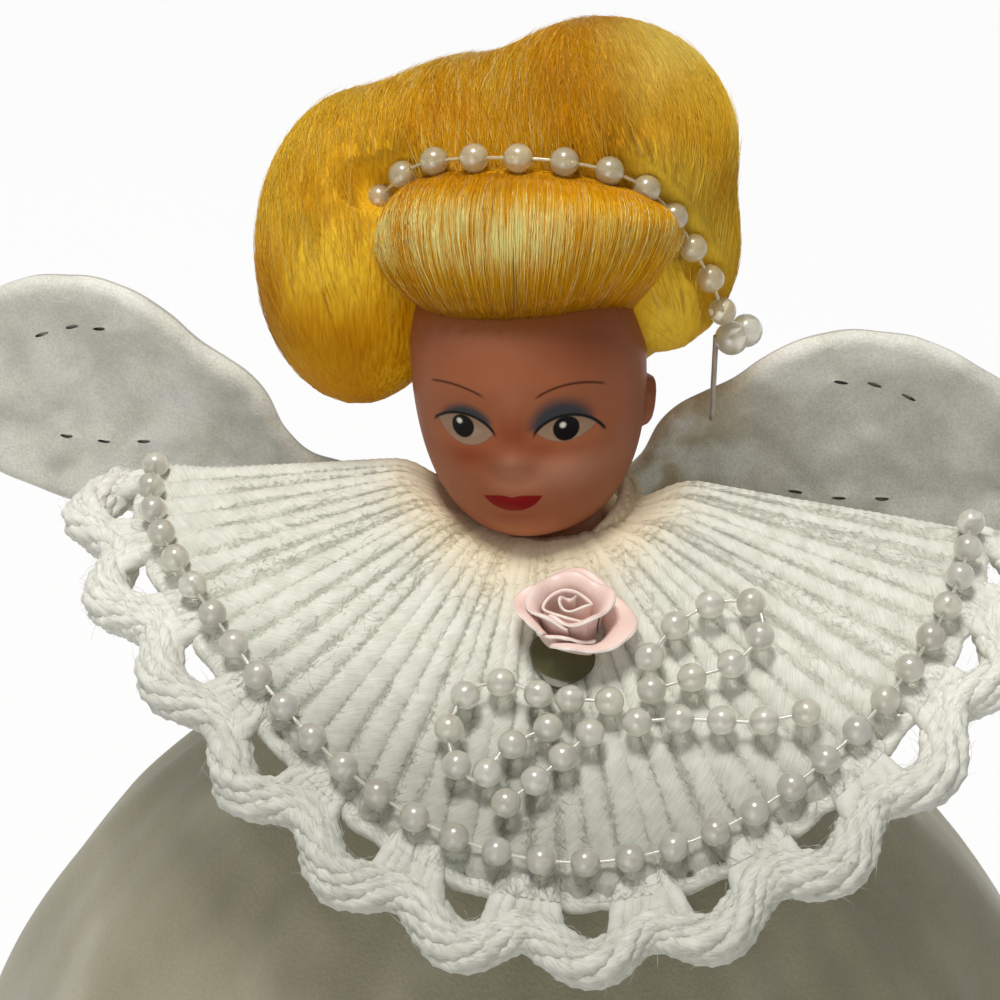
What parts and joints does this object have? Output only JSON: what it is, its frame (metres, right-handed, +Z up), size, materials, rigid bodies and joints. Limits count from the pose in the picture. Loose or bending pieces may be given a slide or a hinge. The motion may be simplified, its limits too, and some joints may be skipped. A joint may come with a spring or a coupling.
{
  "type": "angel tree topper",
  "caption": "Standing angel decoration on a hollow cone: flared skirt, ribbed yarn cape with pearl trim and ribbon rose, lace wings, doll head with piled hair.",
  "frame": {"origin": "centre of the circle that the cone's rim stands on, on the floor", "axes": "+Z up along the cone, the face and the cape's bow look towards -Y, +X is the viewer's right"},
  "size_m": [0.159, 0.159, 0.1728],
  "materials": {
    "card": "rough brown card",
    "wood": "bare turned wood",
    "cloth": "sheer cloth over brown card, soft sheen",
    "yarn": "brushed white yarn",
    "pearl": "pearl coat, soft gloss",
    "ribbon": "pale pink satin",
    "leaf": "dark green satin",
    "lace": "stiffened white lace",
    "vinyl": "flesh vinyl with painted features",
    "hair": "glossy golden fibre",
    "wire": "dull wire"
  },
  "bodies": {
    "gown": {"cone_core": "card", "neck_post": "wood", "skirt": "cloth", "skirt_band": "cloth", "cape": "yarn", "neck_roll": "yarn", "cape_edging": "yarn", "cape_pearls": "pearl", "bow_left_loop": "pearl", "bow_right_loop": "pearl", "bow_left_tail": "pearl", "bow_right_tail": "pearl", "bow_knot": "pearl", "rose_petals": "ribbon", "rose_heart": "ribbon", "rose_leaf": "leaf", "wing_bar": "card", "skirt_pearl_1": "pearl", "skirt_pearl_2": "pearl", "skirt_pearl_3": "pearl", "skirt_pearl_4": "pearl", "skirt_pearl_5": "pearl", "skirt_pearl_6": "pearl"},
    "left_wing": {"left_wing": "lace", "left_wing_edge": "lace"},
    "right_wing": {"right_wing": "lace", "right_wing_edge": "lace"},
    "head": {"head_shell": "vinyl", "hair_top": "hair", "hair_left": "hair", "hair_right": "hair", "hair_back": "hair", "hair_fringe": "hair", "headband_pearls": "pearl", "headband_end_pearls": "pearl", "headband_wire": "wire"}
  },
  "joints": [
    {"name": "head_turn", "type": "hinge", "parent": "gown", "child": "head", "pos_m": [0, 0, 0.13], "axis": [0, 0, 1], "range_deg": [-25, 25]},
    {"name": "left_wing_swing", "type": "hinge", "parent": "gown", "child": "left_wing", "pos_m": [-0.0165, 0.01335, 0.13], "axis": [0, 0, -1], "range_deg": [-8, 35]},
    {"name": "right_wing_swing", "type": "hinge", "parent": "gown", "child": "right_wing", "pos_m": [-0.0045, 0.01335, 0.13], "axis": [0, 0, 1], "range_deg": [-8, 35]}
  ]
}
